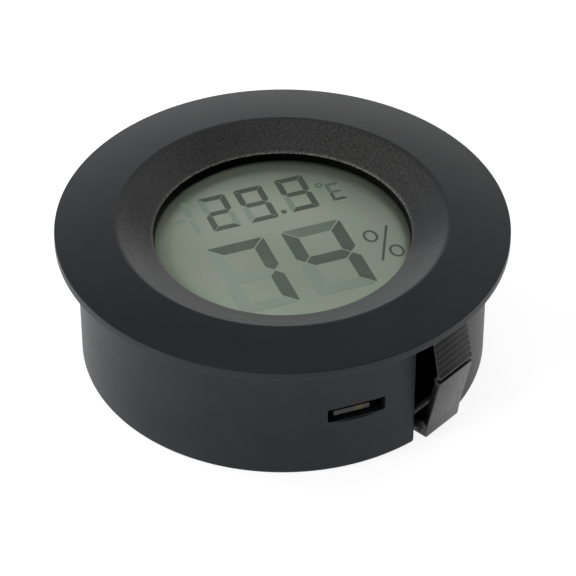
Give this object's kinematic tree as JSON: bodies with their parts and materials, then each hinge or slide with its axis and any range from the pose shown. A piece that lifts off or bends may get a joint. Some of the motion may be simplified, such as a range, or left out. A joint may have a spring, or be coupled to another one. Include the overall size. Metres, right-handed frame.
{
  "type": "panel hygrometer",
  "caption": "Round panel-mount digital thermo-hygrometer with a flange, a recessed display, side spring clips, a sensor slot and a rear battery door.",
  "frame": {"origin": "centre of the rear face that the instrument rests on", "axes": "+Z out of the display, +Y towards 12 o'clock on the display, +X towards 3 o'clock"},
  "size_m": [0.0464, 0.0464, 0.016],
  "materials": {
    "black_plastic": "satin black, fine spark-eroded texture",
    "grey_plastic": "satin",
    "white_plastic": "satin",
    "display_film": "matte grey-green",
    "display_glass": "clear",
    "black_rubber": "matte",
    "board": "green solder mask",
    "sensor": "ceramic",
    "steel": "nickel plated"
  },
  "bodies": {
    "case": {"front_housing": "black_plastic", "rear_cover": "black_plastic", "front_polarizer": "display_film", "lcd_front_glass": "display_glass", "lcd_rear_glass": "display_glass", "rear_reflector": "display_film", "display_frame": "white_plastic", "contact_strip": "black_rubber", "circuit_board": "board", "controller_blob": "black_plastic", "humidity_sensor": "sensor", "thermistor": "black_plastic", "crystal": "steel", "capacitor_1": "sensor", "capacitor_2": "sensor", "resistor_1": "black_plastic", "resistor_2": "black_plastic", "unit_switch": "steel", "button_cell_1": "steel", "button_cell_2": "steel", "contact_positive": "steel", "contact_negative": "steel", "cover_screw_1": "steel", "cover_screw_2": "steel", "cover_screw_3": "steel", "board_screw_1": "steel", "board_screw_2": "steel"},
    "clip_right": {"spring_clip_right": "black_plastic"},
    "clip_left": {"spring_clip_left": "black_plastic"},
    "door": {"battery_door": "black_plastic", "contact_bridge": "steel"},
    "button": {"unit_button": "grey_plastic"}
  },
  "joints": [
    {"name": "clip_right_flex", "type": "hinge", "parent": "case", "child": "clip_right", "pos_m": [0.00919, -0.01765, 0.0012], "axis": [-0.887, -0.4617, 0], "range_deg": [0, 16], "stiffness_Nm_per_rad": 0.12},
    {"name": "clip_left_flex", "type": "hinge", "parent": "case", "child": "clip_left", "pos_m": [-0.00919, 0.01765, 0.0012], "axis": [0.887, 0.4617, 0], "range_deg": [0, 16], "stiffness_Nm_per_rad": 0.12},
    {"name": "door_slide", "type": "slide", "parent": "case", "child": "door", "axis": [0, -1, 0], "range_m": [0, 0.0025]},
    {"name": "button_press", "type": "slide", "parent": "case", "child": "button", "axis": [0, 0, 1], "range_m": [0, 0.0005], "stiffness_N_per_m": 400}
  ]
}
